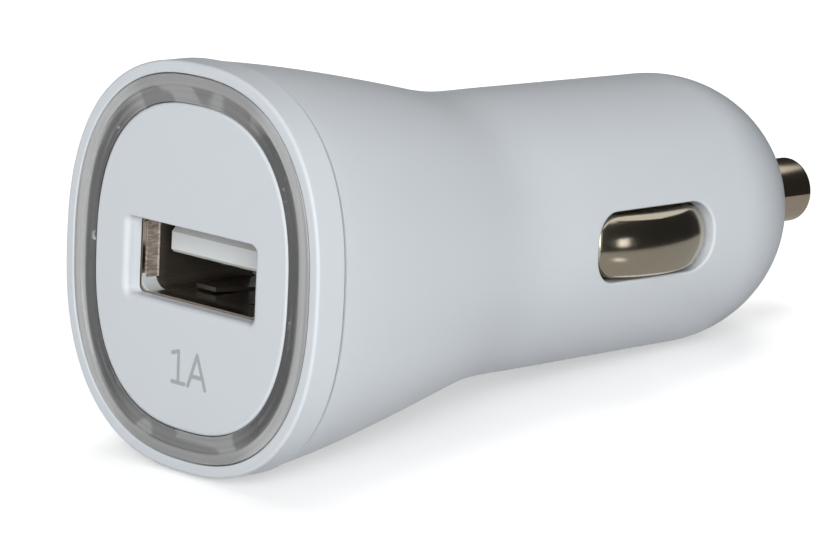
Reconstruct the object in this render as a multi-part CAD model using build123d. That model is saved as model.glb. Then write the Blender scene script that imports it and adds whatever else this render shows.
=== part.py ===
from build123d import *

import os
from math import asin, copysign, cos, degrees, pi, sin, sqrt

# Car USB charger plug: a tall oval head with a USB-A port, a round barrel for a
# 12 V socket, a sprung tip and two sprung side contacts.
# Millimetres. The origin is on the plug's axis, where the straight barrel begins
# and the socket's rim stops. +Y runs to the nose, +Z is the head's tall way and
# the port looks along -Y.

# Moulded body
HEAD_WIDTH = 25.9
HEAD_HEIGHT = 28.5
MOUTH_HEIGHT = 28.1
HEAD_LENGTH = 23.1
HEAD_SQUARENESS = 2.42
FLARE_POWER = 1.3
NECK_RUN_OUT = 1.5
NECK_BLEND = 6.0
BARREL_DIAMETER = 20.8
BARREL_SEAT = 5.2
BARREL_LENGTH = 21.9
NOSE_DIAMETER = 20.56
NOSE_LENGTH = 10.95
NOSE_FACE_DIAMETER = 7.2
NOSE_EDGE = 0.4
NOSE_SEAT_THICKNESS = 2.6
WALL = 1.4
OUTLINE_POINTS = 32
DOME_POINTS = 7

# Front collar, clear ring and face plate
BEZEL_DEPTH = 2.65
BEZEL_EDGE = 0.45
SEAM_GAP = 0.12
SPIGOT_LENGTH = 3.0
SPIGOT_WALL = 0.9
SPIGOT_FIT = 0.08
LIP_WIDTH = 0.85
RING_FIT = 0.06
RING_DEPTH = 1.8
BEAD_WIDTH = 0.8
BEAD_EDGE = 0.12
GROOVE_DEPTH = 0.15
LIGHT_PIPE_WALL = 1.3
LIGHT_PIPE_LENGTH = 1.5
PLATE_INSET_SIDE = 3.05
PLATE_INSET_TOP = 2.85
PLATE_SQUARENESS = 2.5
PLATE_THICKNESS = 1.2
PLATE_SETBACK = 0.1
PLATE_FIT = 0.04
PLATE_EDGE = 0.2
WINDOW_WIDTH = 12.7
WINDOW_HEIGHT = 5.4
WINDOW_DRAFT_SIDE = 0.42
WINDOW_DRAFT_TOP = 0.03
WINDOW_CORNER = 0.5
WINDOW_EDGE = 0.2

# USB-A receptacle
PORT_WIDTH = 12.5
PORT_HEIGHT = 5.12
PORT_CORNER = 0.6
SHELL_SHEET = 0.3
SHELL_LENGTH = 13.8
SHELL_GAP = 0.05
FINGER_WIDTH = 2.0
FINGER_LENGTH = 5.0
FINGER_SPACING = 6.2
FINGER_START = 3.2
FINGER_DIP = 0.45
FINGER_SLIT = 0.4
TAB_WIDTH = 1.6
TAB_REACH = 0.7
TAB_STATIONS = (4.0, 10.2)
TONGUE_WIDTH = 11.1
TONGUE_THICKNESS = 1.84
TONGUE_HEADROOM = 0.72
TONGUE_SETBACK = 2.05
TONGUE_TOP_BEVEL = 0.4
TONGUE_BOTTOM_BEVEL = 0.2
BASE_LENGTH = 3.6
BASE_FIT = 0.05
PIN_WIDTH = 1.0
PIN_SHEET = 0.25
PIN_SETBACK = 1.0
PIN_BOW = 0.6
PIN_BOW_LENGTH = 4.8
PIN_BOW_CREST = 1.8
PIN_DROP = 0.6
PIN_REACH = 0.8
PIN_PLACES = {"power": -3.5, "data_minus": -1.0, "data_plus": 1.0, "ground": 3.5}

# Circuit board
BOARD_THICKNESS = 1.2
BOARD_CLEARANCE = 0.3
BOARD_FRONT_GAP = 1.2
BOARD_CORNER = 0.6
BOARD_WAIST = 10.8
HOLE_FIT = 0.1
RAIL_WIDTH = 0.8
RAIL_DEPTH = 1.2
RAIL_LENGTH = 9.0

# Sprung side contacts
SLOT_START = 5.6
SLOT_LENGTH = 12.5
SLOT_HEIGHT = 5.2
SLOT_CORNER = 2.2
SLOT_EDGE = 0.2
PAD_SHEET = 0.4
PAD_PROUD = 1.1
PAD_RISE = 1.6
PAD_FRONT_GAP = 0.3
PAD_REAR_GAP = 0.5
PAD_SIDE_GAP = 0.3
PAD_CROWN_RADIUS = 4.5
PAD_EDGE = 0.6
FLANGE_MARGIN = 0.8
RUNNING_GAP = 0.12
ARM_HEIGHT = 2.8
LEG_DIAMETER = 1.2
LEG_X = 6.0
LEG_Y = 1.5
LEG_REACH = 0.7
LEG_FIT = 0.05

# Sprung tip
TIP_DIAMETER = 5.0
TIP_REACH = 6.45
TIP_EDGE = 0.4
TIP_FIT = 0.1
TIP_FLANGE_DIAMETER = 7.4
TIP_FLANGE_THICKNESS = 1.0
TIP_TAIL_DIAMETER = 2.8
TIP_TAIL_LENGTH = 3.4
TIP_STOP_GAP = 0.05
SPRING_WIRE = 0.6
SPRING_DIAMETER = 5.2
SPRING_TURNS = 5.5
SPRING_GAP = 0.05
TERMINAL_SHEET = 0.5
TERMINAL_WIDTH = 6.6
TERMINAL_FOOT = 2.0
TERMINAL_TOP = 3.2
TERMINAL_BEND = 0.5
STUD_DIAMETER = 3.6
STUD_HEIGHT = 0.8

# Parts on the board, in a row behind the port
PART_GAP = 0.75
CAPACITOR_DIAMETER = 6.3
CAPACITOR_HEIGHT = 5.8
CAPACITOR_BASE = 6.6
CAPACITOR_BASE_THICKNESS = 0.9
CAPACITOR_CRIMP = 0.3
CAPACITOR_SPACING = 7.2
CORE_DIAMETER = 7.0
CORE_HEIGHT = 4.2
CORE_FLANGE = 0.9
CORE_NECK_DIAMETER = 3.4
WINDING_DIAMETER = 6.0
CHIP_LENGTH = 4.9
CHIP_WIDTH = 3.9
CHIP_HEIGHT = 1.45
CHIP_STANDOFF = 0.15
CHIP_LEAD_SPAN = 6.0
CHIP_LEAD_PITCH = 1.27
CHIP_LEAD_WIDTH = 0.42
CHIP_LEAD_SHEET = 0.22
DIODE_SIZE = (4.3, 2.6, 2.2)
DIODE_TERMINAL = 0.5
FUSE_SIZE = (3.2, 1.6, 0.9)
FUSE_CAP = 0.5
CHIP_PART_SIZE = (2.0, 1.25, 0.6)
CHIP_PART_CAP = 0.4
CERAMIC_GAP = 0.2
CERAMIC_STEP = 2.9
RESISTORS = ("feedback_resistor_upper", "feedback_resistor_lower", "led_resistor")
RESISTOR_PITCH = 2.0
LED_SIZE = (1.6, 0.8, 0.7)
LED_SPACING = 8.0
LED_LENS = 0.3

# Places worked out from the sizes
BARREL_R = BARREL_DIAMETER / 2
NOSE_R = NOSE_DIAMETER / 2
NECK_Y = -NECK_RUN_OUT
FRONT_Y = NECK_Y - HEAD_LENGTH
SEAM_Y = FRONT_Y + BEZEL_DEPTH
NOSE_Y = BARREL_LENGTH
NOSE_FACE_Y = NOSE_Y + NOSE_LENGTH * sqrt(1 - (NOSE_FACE_DIAMETER / NOSE_DIAMETER) ** 2)
NOSE_SEAT_Y = NOSE_FACE_Y - NOSE_SEAT_THICKNESS
PLATE_Y = FRONT_Y + PLATE_SETBACK
PLATE_BACK_Y = PLATE_Y + PLATE_THICKNESS
SHELL_Y = PLATE_BACK_Y + SHELL_GAP
SHELL_END_Y = SHELL_Y + SHELL_LENGTH
TONGUE_Y = SHELL_Y + TONGUE_SETBACK
TONGUE_TOP = PORT_HEIGHT / 2 - TONGUE_HEADROOM
TONGUE_BOTTOM = TONGUE_TOP - TONGUE_THICKNESS
BOARD_TOP = -PORT_HEIGHT / 2 - SHELL_SHEET
BOARD_BOTTOM = BOARD_TOP - BOARD_THICKNESS
BOARD_Y = PLATE_BACK_Y + BOARD_FRONT_GAP
BOARD_HALF = sqrt((NOSE_R - WALL) ** 2 - BOARD_BOTTOM**2) - BOARD_CLEARANCE
PIN_Y = SHELL_END_Y + PIN_DROP
CAPACITOR_Y = PIN_Y + PIN_SHEET / 2 + PART_GAP + CAPACITOR_BASE / 2
CORE_Y = CAPACITOR_Y + CAPACITOR_BASE / 2 + PART_GAP + CORE_DIAMETER / 2
CHIP_Y = CORE_Y + CORE_DIAMETER / 2 + PART_GAP + CHIP_LENGTH / 2
DIODE_Y = CHIP_Y + CHIP_LENGTH / 2 + PART_GAP + DIODE_SIZE[1] / 2
FUSE_Y = DIODE_Y + DIODE_SIZE[1] / 2 + PART_GAP + FUSE_SIZE[1] / 2
CERAMIC_X = CHIP_LEAD_SPAN / 2 + CERAMIC_GAP + CHIP_PART_SIZE[0] / 2
BOARD_END_Y = FUSE_Y + FUSE_SIZE[1] / 2 + PART_GAP + TERMINAL_FOOT
LEG_BOTTOM = BOARD_BOTTOM - LEG_REACH
PAD_LENGTH = SLOT_LENGTH - PAD_FRONT_GAP - PAD_REAR_GAP
PAD_HEIGHT = SLOT_HEIGHT - 2 * PAD_SIDE_GAP
PAD_Y = SLOT_START + PAD_FRONT_GAP + PAD_LENGTH / 2
FLANGE_LENGTH = PAD_LENGTH + 2 * FLANGE_MARGIN
FLANGE_HEIGHT = PAD_HEIGHT + 2 * FLANGE_MARGIN
BOARD_STEP_Y = PAD_Y - FLANGE_LENGTH / 2 - FLANGE_MARGIN
FLANGE_X = sqrt((NOSE_R - WALL) ** 2 - (FLANGE_HEIGHT / 2) ** 2) - RUNNING_GAP
TIP_FLANGE_Y = NOSE_SEAT_Y - TIP_STOP_GAP
SPRING_START = BOARD_END_Y + SPRING_GAP
SPRING_END = TIP_FLANGE_Y - TIP_FLANGE_THICKNESS - SPRING_GAP


def superellipse(half_width, half_height, squareness, y):
    """Face in the plane at y, bounded by |x/a|^n + |z/b|^n = 1 and drawn from its lowest point."""
    points = []
    for step in range(OUTLINE_POINTS):
        angle = 2 * pi * step / OUTLINE_POINTS - pi / 2
        across = copysign(abs(cos(angle)) ** (2 / squareness), cos(angle))
        upward = copysign(abs(sin(angle)) ** (2 / squareness), sin(angle))
        points.append((half_width * across, y, half_height * upward))
    return make_face(Spline(points, periodic=True))


def head_section(share, inset):
    """Head section, from the oval mouth at share 0 to the round neck at share 1."""
    swell = 1 - share**FLARE_POWER
    half_width = BARREL_R + (HEAD_WIDTH / 2 - BARREL_R) * swell - inset
    half_height = BARREL_R + (MOUTH_HEIGHT / 2 - BARREL_R) * swell - inset
    squareness = 2 + (HEAD_SQUARENESS - 2) * max(0, 1 - share)
    return superellipse(half_width, half_height, squareness, SEAM_Y + share * (NECK_Y - SEAM_Y))


def head_form(inset):
    """Flared head, drawn in by the inset and run on a little past the neck."""
    return loft([head_section(share, inset) for share in (0, 0.2, 0.4, 0.6, 0.8, 1, 1.1)])


def barrel_form(inset, end_y):
    """Turned barrel: straight seat, drafted run and a quarter-ellipse nose, cut flat at end_y."""
    dome_radius = NOSE_R - inset
    dome_reach = NOSE_LENGTH - inset
    dome_angle = asin((end_y - NOSE_Y) / dome_reach)
    dome_points = []
    for step in range(DOME_POINTS):
        angle = dome_angle * step / (DOME_POINTS - 1)
        dome_points.append((dome_radius * cos(angle), NOSE_Y + dome_reach * sin(angle)))
    dome_end_slope = (-dome_radius * sin(dome_angle), dome_reach * cos(dome_angle))
    dome = Spline(dome_points, tangents=((0, 1), dome_end_slope))
    start_y = 2 * NECK_Y
    start = (0, start_y)
    wall = Polyline(
        start,
        (BARREL_R - inset, start_y),
        (BARREL_R - inset, BARREL_SEAT),
        (dome_radius, NOSE_Y),
    )
    end = Polyline(dome @ 1, (0, end_y), start)
    seam_to_underside = Rot(0, 90, 0)
    return seam_to_underside * revolve(make_face(wall + dome + end), Axis.Y)


def collar(inset, start_y, end_y):
    """Straight oval plug of the mouth's outline, drawn in by the inset."""
    face = superellipse(HEAD_WIDTH / 2 - inset, HEAD_HEIGHT / 2 - inset, HEAD_SQUARENESS, start_y)
    return extrude(face, end_y - start_y, (0, 1, 0))


def plate_bar(fit, start_y):
    """Straight oval bar of the face plate's outline, drawn in by the fit, up to the plate's back."""
    half_width = HEAD_WIDTH / 2 - PLATE_INSET_SIDE - fit
    half_height = HEAD_HEIGHT / 2 - PLATE_INSET_TOP - fit
    face = superellipse(half_width, half_height, PLATE_SQUARENESS, start_y)
    return extrude(face, PLATE_BACK_Y - start_y, (0, 1, 0))


def rounded_bar(width, height, corner, start_y, end_y):
    """Rounded rectangular bar along Y, centred on the plug's axis."""
    face = Plane((0, start_y, 0), (1, 0, 0), (0, 1, 0)) * RectangleRounded(width, height, corner)
    return extrude(face, end_y - start_y)


def block(x, y, z):
    """Box between two limits along each axis."""
    size = Box(x[1] - x[0], y[1] - y[0], z[1] - z[0])
    return Pos((x[0] + x[1]) / 2, (y[0] + y[1]) / 2, (z[0] + z[1]) / 2) * size


def rod(radius, start_y, end_y):
    """Round rod along the plug's axis."""
    face = Plane((0, start_y, 0), (1, 0, 0), (0, 1, 0)) * Circle(radius)
    return extrude(face, end_y - start_y)


def post(radius, x, y, bottom, top):
    """Upright round post."""
    return extrude(Pos(x, y, bottom) * Circle(radius), top - bottom)


def edges_at(shape, y, tolerance=0.05):
    """Edges whose whole length lies in the plane at y."""
    found = []
    for edge in shape.edges():
        box = edge.bounding_box()
        if abs(box.min.Y - y) < tolerance and abs(box.max.Y - y) < tolerance:
            found.append(edge)
    return ShapeList(found)


def outermost(edges):
    """The longest of some closed edges."""
    return edges.sort_by(SortBy.LENGTH)[-1]


def make_housing():
    """Head, barrel and nose in one moulding, with board rails, side slots and the tip's bore."""
    outside = head_form(0) + barrel_form(0, NOSE_FACE_Y)
    outside = fillet(edges_at(outside, NECK_Y, NECK_RUN_OUT / 2), NECK_BLEND)
    outside = fillet(edges_at(outside, NOSE_FACE_Y), NOSE_EDGE)
    inside = head_form(WALL) + barrel_form(WALL, NOSE_SEAT_Y)
    rail_span = (BOARD_STEP_Y - RAIL_LENGTH, BOARD_STEP_Y)
    rail_height = (BOARD_BOTTOM - RAIL_DEPTH, BOARD_BOTTOM)
    for side in (-1, 1):
        reach = sorted((side * (BOARD_HALF - RAIL_WIDTH), side * HEAD_WIDTH / 2))
        inside -= block(reach, rail_span, rail_height)
    mouth = collar(WALL, SEAM_Y, SEAM_Y + SPIGOT_LENGTH + SEAM_GAP)
    bore = rod(TIP_DIAMETER / 2 + TIP_FIT, NOSE_SEAT_Y - WALL, NOSE_FACE_Y + WALL)
    slot_outline = RectangleRounded(SLOT_LENGTH, SLOT_HEIGHT, SLOT_CORNER)
    slot_place = Plane.YZ * Pos(SLOT_START + SLOT_LENGTH / 2, 0)
    slot = extrude(slot_place * slot_outline, BARREL_DIAMETER, both=True)
    housing = outside - inside - mouth - bore - slot
    slot_rims = housing.edges().filter_by_position(Axis.Y, SLOT_START, SLOT_START + SLOT_LENGTH)
    slot_rims = slot_rims.filter_by(lambda edge: abs(edge.center().X) > NOSE_R - WALL / 2)
    return fillet(slot_rims, SLOT_EDGE)


def make_bezel():
    """Oval collar with a rounded lip, a seat for the clear ring and a spigot for the mouth."""
    outside = collar(0, FRONT_Y, SEAM_Y - SEAM_GAP)
    outside = fillet(outermost(edges_at(outside, FRONT_Y)), BEZEL_EDGE)
    spigot_inset = WALL + SPIGOT_FIT
    spigot = collar(spigot_inset, FRONT_Y, SEAM_Y + SPIGOT_LENGTH)
    seat = collar(LIP_WIDTH, FRONT_Y, FRONT_Y + RING_DEPTH)
    opening = collar(spigot_inset + SPIGOT_WALL, FRONT_Y, SEAM_Y + SPIGOT_LENGTH)
    return outside + spigot - seat - opening


def make_light_ring():
    """Clear ring: a bead beside the lip, a sunk band and a light pipe that the face plate sits on."""
    outer_inset = LIP_WIDTH + RING_FIT
    bead_inset = outer_inset + BEAD_WIDTH
    pipe_inset = WALL + SPIGOT_FIT + SPIGOT_WALL + RING_FIT
    ring = collar(outer_inset, FRONT_Y, FRONT_Y + RING_DEPTH)
    ring -= collar(bead_inset, FRONT_Y, FRONT_Y + GROOVE_DEPTH)
    ring = fillet(edges_at(ring, FRONT_Y), BEAD_EDGE)
    ring += collar(pipe_inset, FRONT_Y + RING_DEPTH, PLATE_BACK_Y + LIGHT_PIPE_LENGTH)
    ring -= plate_bar(0, FRONT_Y)
    return ring - collar(pipe_inset + LIGHT_PIPE_WALL, PLATE_BACK_Y, PLATE_BACK_Y + LIGHT_PIPE_LENGTH)


def make_face_plate():
    """Flat plate with a rounded rim and a drafted window for the port."""
    plate = plate_bar(PLATE_FIT, PLATE_Y)
    plate = fillet(outermost(edges_at(plate, PLATE_Y)), PLATE_EDGE)
    window = []
    for y, share in ((PLATE_Y, 1), (PLATE_BACK_Y, 0)):
        width = WINDOW_WIDTH + 2 * WINDOW_DRAFT_SIDE * share
        height = WINDOW_HEIGHT + 2 * WINDOW_DRAFT_TOP * share
        place = Plane((0, y, 0), (1, 0, 0), (0, 1, 0))
        window.append(place * RectangleRounded(width, height, WINDOW_CORNER))
    plate -= loft(window)
    rim = edges_at(plate, PLATE_Y).filter_by(lambda edge: edge.bounding_box().max.X < WINDOW_WIDTH)
    rim = rim.filter_by(lambda edge: abs(edge.center().Z) < WINDOW_HEIGHT)
    return fillet(rim, WINDOW_EDGE)


def make_usb_shell():
    """Folded tube with four sprung fingers and four tabs through the board."""
    outer_width = PORT_WIDTH + 2 * SHELL_SHEET
    outer_height = PORT_HEIGHT + 2 * SHELL_SHEET
    shell = rounded_bar(outer_width, outer_height, PORT_CORNER + SHELL_SHEET, SHELL_Y, SHELL_END_Y)
    shell -= rounded_bar(PORT_WIDTH, PORT_HEIGHT, PORT_CORNER, SHELL_Y, SHELL_END_Y)
    finger_y = SHELL_Y + FINGER_START
    wall_middle = (PORT_HEIGHT + SHELL_SHEET) / 2
    dip_angle = degrees(asin(FINGER_DIP / FINGER_LENGTH))
    for side in (-1, 1):
        x = side * FINGER_SPACING / 2
        slit = (x - FINGER_WIDTH / 2 - FINGER_SLIT, x + FINGER_WIDTH / 2 + FINGER_SLIT)
        for level in (-1, 1):
            height = sorted((level * PORT_HEIGHT / 2, level * outer_height / 2))
            shell -= block(slit, (finger_y - FINGER_SLIT, finger_y + FINGER_LENGTH), height)
            leaf = Pos(0, -FINGER_LENGTH / 2, 0) * Box(FINGER_WIDTH, FINGER_LENGTH, SHELL_SHEET)
            root = Pos(x, finger_y + FINGER_LENGTH, level * wall_middle)
            shell += root * Rot(level * dip_angle, 0, 0) * leaf
        reach = sorted((side * PORT_WIDTH / 2, side * outer_width / 2))
        for station in TAB_STATIONS:
            tab_y = SHELL_Y + station
            tab_height = (BOARD_BOTTOM - TAB_REACH, 0)
            shell += block(reach, (tab_y - TAB_WIDTH / 2, tab_y + TAB_WIDTH / 2), tab_height)
    return shell


def make_usb_contact(x):
    """One sprung contact: a strip bowed out under the tongue, then a leg down through the board."""
    level = TONGUE_BOTTOM - PIN_SHEET / 2
    start_y = TONGUE_Y + PIN_SETBACK
    path = FilletPolyline(
        (start_y, level),
        (start_y + PIN_BOW_CREST, level - PIN_BOW),
        (start_y + PIN_BOW_LENGTH, level),
        (PIN_Y, level),
        (PIN_Y, BOARD_BOTTOM - PIN_REACH),
        radius=2 * PIN_SHEET,
    )
    return extrude(Plane.YZ.offset(x) * trace(path, PIN_SHEET), PIN_WIDTH / 2, both=True)


def make_usb_insulator():
    """Moulded base block that fills the shell's end, with the tongue in front."""
    base_width = PORT_WIDTH - 2 * BASE_FIT
    base_height = PORT_HEIGHT - 2 * BASE_FIT
    base = rounded_bar(base_width, base_height, PORT_CORNER, SHELL_END_Y - BASE_LENGTH, SHELL_END_Y)
    half = TONGUE_WIDTH / 2
    tongue = block((-half, half), (TONGUE_Y, SHELL_END_Y - BASE_LENGTH), (TONGUE_BOTTOM, TONGUE_TOP))
    tongue = chamfer(edges_at(tongue, TONGUE_Y).sort_by(Axis.Z)[-1], TONGUE_TOP_BEVEL)
    tongue = chamfer(edges_at(tongue, TONGUE_Y).sort_by(Axis.Z)[0], TONGUE_BOTTOM_BEVEL)
    insulator = base + tongue
    for x in PIN_PLACES.values():
        channel = (x - PIN_WIDTH / 2, x + PIN_WIDTH / 2)
        run = (SHELL_END_Y - BASE_LENGTH, SHELL_END_Y)
        insulator -= block(channel, run, (TONGUE_BOTTOM - PIN_SHEET, TONGUE_BOTTOM))
    return insulator


def make_board():
    """Board, narrow between the side contacts, with holes for tabs, pins and legs."""
    outline = Sketch()
    for width, end_y in ((2 * BOARD_HALF, BOARD_STEP_Y), (BOARD_WAIST, BOARD_END_Y)):
        middle = (BOARD_Y + end_y) / 2
        outline += Pos(0, middle) * RectangleRounded(width, end_y - BOARD_Y, BOARD_CORNER)
    for side in (-1, 1):
        outline -= Pos(side * LEG_X, LEG_Y) * Circle(LEG_DIAMETER / 2 + LEG_FIT)
        tab_x = side * (PORT_WIDTH + SHELL_SHEET) / 2
        for station in TAB_STATIONS:
            hole = Rectangle(SHELL_SHEET + 2 * HOLE_FIT, TAB_WIDTH + 2 * HOLE_FIT)
            outline -= Pos(tab_x, SHELL_Y + station) * hole
    for x in PIN_PLACES.values():
        outline -= Pos(x, PIN_Y) * Circle(PIN_WIDTH / 2 + HOLE_FIT)
    return extrude(Pos(0, 0, BOARD_BOTTOM) * outline, BOARD_THICKNESS)


def pad_form(inset):
    """Pillow: a rounded rectangle seen from the side, under a surface crowned both ways."""
    crest = BARREL_R + PAD_PROUD
    axis_x = crest - PAD_CROWN_RADIUS
    half = PAD_LENGTH / 2
    crown = ThreePointArc(
        (crest - PAD_RISE - inset, PAD_Y - half),
        (crest - inset, PAD_Y),
        (crest - PAD_RISE - inset, PAD_Y + half),
    )
    sides = Polyline(crown @ 1, (axis_x, PAD_Y + half), (axis_x, PAD_Y - half), crown @ 0)
    pillow = revolve(make_face(crown + sides), Axis((axis_x, 0, 0), (0, 1, 0)))
    corner = SLOT_CORNER - PAD_SIDE_GAP - inset
    outline = RectangleRounded(PAD_LENGTH - 2 * inset, PAD_HEIGHT - 2 * inset, corner)
    return pillow & extrude(Plane.YZ.offset(FLANGE_X) * Pos(PAD_Y, 0) * outline, crest)


def make_ground_contact():
    """Stamped contact of the +X side: crowned pad, flange behind the wall, arm and round root leg."""
    pad = pad_form(0)
    rim = pad.faces().sort_by(Axis.X)[-1].edges()
    pad = fillet(rim, PAD_EDGE) - pad_form(PAD_SHEET)
    flange_outline = RectangleRounded(FLANGE_LENGTH, FLANGE_HEIGHT, SLOT_CORNER)
    flange_outline -= RectangleRounded(
        PAD_LENGTH - 2 * PAD_SHEET,
        PAD_HEIGHT - 2 * PAD_SHEET,
        SLOT_CORNER - PAD_SIDE_GAP - PAD_SHEET,
    )
    flange = extrude(Plane.YZ.offset(FLANGE_X) * Pos(PAD_Y, 0) * flange_outline, -PAD_SHEET)
    arm_path = Line((LEG_X, LEG_Y), (FLANGE_X - PAD_SHEET / 2, PAD_Y - PAD_LENGTH / 2))
    arm = extrude(trace(arm_path, PAD_SHEET), ARM_HEIGHT / 2, both=True)
    leg = post(LEG_DIAMETER / 2, LEG_X, LEG_Y, LEG_BOTTOM, ARM_HEIGHT / 2)
    return pad + flange + arm + leg


def make_tip():
    """Turned plunger: rounded tip, retaining flange and a tail inside the spring."""
    tip_end = NOSE_FACE_Y + TIP_REACH
    tail_end = TIP_FLANGE_Y - TIP_FLANGE_THICKNESS - TIP_TAIL_LENGTH
    tip = rod(TIP_DIAMETER / 2, TIP_FLANGE_Y, tip_end)
    tip = fillet(edges_at(tip, tip_end), TIP_EDGE)
    tip += rod(TIP_FLANGE_DIAMETER / 2, TIP_FLANGE_Y - TIP_FLANGE_THICKNESS, TIP_FLANGE_Y)
    return tip + rod(TIP_TAIL_DIAMETER / 2, tail_end, TIP_FLANGE_Y)


def make_tip_spring():
    """Wound wire between the terminal and the plunger's flange."""
    height = SPRING_END - SPRING_START - SPRING_WIRE
    start = SPRING_START + SPRING_WIRE / 2
    radius = (SPRING_DIAMETER - SPRING_WIRE) / 2
    wind = Helix(height / SPRING_TURNS, height, radius, (0, start, 0), (0, 1, 0))
    wire = Plane(wind @ 0, z_dir=wind % 0) * Circle(SPRING_WIRE / 2)
    return sweep(wire, wind, is_frenet=True)


def make_tip_terminal():
    """Bent bracket on the board's end, with a round stud that centres the spring."""
    foot_level = BOARD_TOP + TERMINAL_SHEET / 2
    face_y = BOARD_END_Y - TERMINAL_SHEET / 2
    path = FilletPolyline(
        (BOARD_END_Y - TERMINAL_FOOT, foot_level),
        (face_y, foot_level),
        (face_y, TERMINAL_TOP),
        radius=TERMINAL_BEND,
    )
    bracket = extrude(Plane.YZ * trace(path, TERMINAL_SHEET), TERMINAL_WIDTH / 2, both=True)
    return bracket + rod(STUD_DIAMETER / 2, face_y, BOARD_END_Y + STUD_HEIGHT)


def make_capacitor(x):
    """Can capacitor: crimped aluminium can on a square moulded foot."""
    radius = CAPACITOR_DIAMETER / 2
    foot_top = BOARD_TOP + CAPACITOR_BASE_THICKNESS
    top = BOARD_TOP + CAPACITOR_HEIGHT
    foot_outline = Pos(x, CAPACITOR_Y, BOARD_TOP) * Rectangle(CAPACITOR_BASE, CAPACITOR_BASE)
    foot = extrude(foot_outline, CAPACITOR_BASE_THICKNESS)
    can = post(radius, x, CAPACITOR_Y, foot_top, top)
    can = fillet(can.edges().sort_by(Axis.Z)[-1], CAPACITOR_CRIMP)
    crimp_height = foot_top + 3 * CAPACITOR_CRIMP
    crimp = Pos(x, CAPACITOR_Y, crimp_height) * Torus(radius + CAPACITOR_CRIMP / 2, CAPACITOR_CRIMP)
    return foot + (can - crimp)


def make_inductor_core():
    """Ferrite drum: two round flanges on a neck."""
    top = BOARD_TOP + CORE_HEIGHT
    core = post(CORE_NECK_DIAMETER / 2, 0, CORE_Y, BOARD_TOP, top)
    core += post(CORE_DIAMETER / 2, 0, CORE_Y, BOARD_TOP, BOARD_TOP + CORE_FLANGE)
    return core + post(CORE_DIAMETER / 2, 0, CORE_Y, top - CORE_FLANGE, top)


def make_inductor_winding():
    """Copper winding between the drum's flanges."""
    span = (BOARD_TOP + CORE_FLANGE, BOARD_TOP + CORE_HEIGHT - CORE_FLANGE)
    winding = post(WINDING_DIAMETER / 2, 0, CORE_Y, *span)
    return winding - post(CORE_NECK_DIAMETER / 2, 0, CORE_Y, *span)


def make_converter_chip():
    """Eight-lead package with gull-wing leads along both long sides."""
    half_width = CHIP_WIDTH / 2
    body_bottom = BOARD_TOP + CHIP_STANDOFF
    body_top = body_bottom + CHIP_HEIGHT
    chip = block(
        (-half_width, half_width),
        (CHIP_Y - CHIP_LENGTH / 2, CHIP_Y + CHIP_LENGTH / 2),
        (body_bottom, body_top),
    )
    lead_root = (body_bottom + body_top) / 2
    lead_foot = BOARD_TOP + CHIP_LEAD_SHEET / 2
    bend_x = half_width + 2 * CHIP_LEAD_SHEET
    path = Polyline(
        (half_width - CHIP_LEAD_SHEET, lead_root),
        (bend_x, lead_root),
        (bend_x, lead_foot),
        (CHIP_LEAD_SPAN / 2, lead_foot),
    )
    profile = trace(path, CHIP_LEAD_SHEET)
    for place in range(4):
        y = CHIP_Y + (place - 1.5) * CHIP_LEAD_PITCH
        lead = extrude(Plane((0, y, 0), (1, 0, 0), (0, -1, 0)) * profile, CHIP_LEAD_WIDTH / 2, both=True)
        chip += lead + mirror(lead, Plane.YZ)
    return chip


def surface_part(size, cap, x, y, underside=False):
    """Surface-mount block with raised end caps, on either face of the board."""
    length, width, height = size
    relief = cap / 5
    bottom = BOARD_BOTTOM - height if underside else BOARD_TOP
    body = block(
        (x - length / 2, x + length / 2),
        (y - width / 2 + relief, y + width / 2 - relief),
        (bottom + relief, bottom + height - relief),
    )
    for side in (-1, 1):
        ends = sorted((x + side * length / 2, x + side * (length / 2 - cap)))
        body += block(ends, (y - width / 2, y + width / 2), (bottom, bottom + height))
    return body


def make_led(side):
    """Edge-firing lamp under the board's front end, with a round lens towards the clear ring."""
    length, depth, height = LED_SIZE
    x = side * LED_SPACING / 2
    body = block(
        (x - length / 2, x + length / 2),
        (BOARD_Y, BOARD_Y + depth),
        (BOARD_BOTTOM - height, BOARD_BOTTOM),
    )
    return body + Pos(x, BOARD_Y, BOARD_BOTTOM - height / 2) * Sphere(LED_LENS)


nodes = {
    "housing": make_housing(),
    "front_bezel": make_bezel(),
    "light_ring": make_light_ring(),
    "face_plate": make_face_plate(),
    "usb_shell": make_usb_shell(),
    "usb_insulator": make_usb_insulator(),
    "circuit_board": make_board(),
    "converter_chip": make_converter_chip(),
    "inductor_core": make_inductor_core(),
    "inductor_winding": make_inductor_winding(),
    "input_capacitor": make_capacitor(-CAPACITOR_SPACING / 2),
    "output_capacitor": make_capacitor(CAPACITOR_SPACING / 2),
    "catch_diode": surface_part(DIODE_SIZE, DIODE_TERMINAL, 0, DIODE_Y),
    "input_fuse": surface_part(FUSE_SIZE, FUSE_CAP, 0, FUSE_Y),
    "tip_contact": make_tip(),
    "tip_spring": make_tip_spring(),
    "tip_terminal": make_tip_terminal(),
    "ground_contact_right": make_ground_contact(),
    "ground_contact_left": mirror(make_ground_contact(), Plane.YZ),
    "indicator_led_left": make_led(-1),
    "indicator_led_right": make_led(1),
}
for name, x in PIN_PLACES.items():
    nodes["usb_contact_" + name] = make_usb_contact(x)
for number, side in ((1, -1), (2, 1)):
    y = CHIP_Y + side * CERAMIC_STEP
    nodes[f"ceramic_capacitor_{number}"] = surface_part(CHIP_PART_SIZE, CHIP_PART_CAP, CERAMIC_X, y)
for place, name in enumerate(RESISTORS):
    y = CORE_Y + place * RESISTOR_PITCH
    nodes[name] = surface_part(CHIP_PART_SIZE, CHIP_PART_CAP, 0, y, underside=True)

os.makedirs("parts", exist_ok=True)
for name, shape in nodes.items():
    export_step(shape, f"parts/{name}.step")
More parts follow.
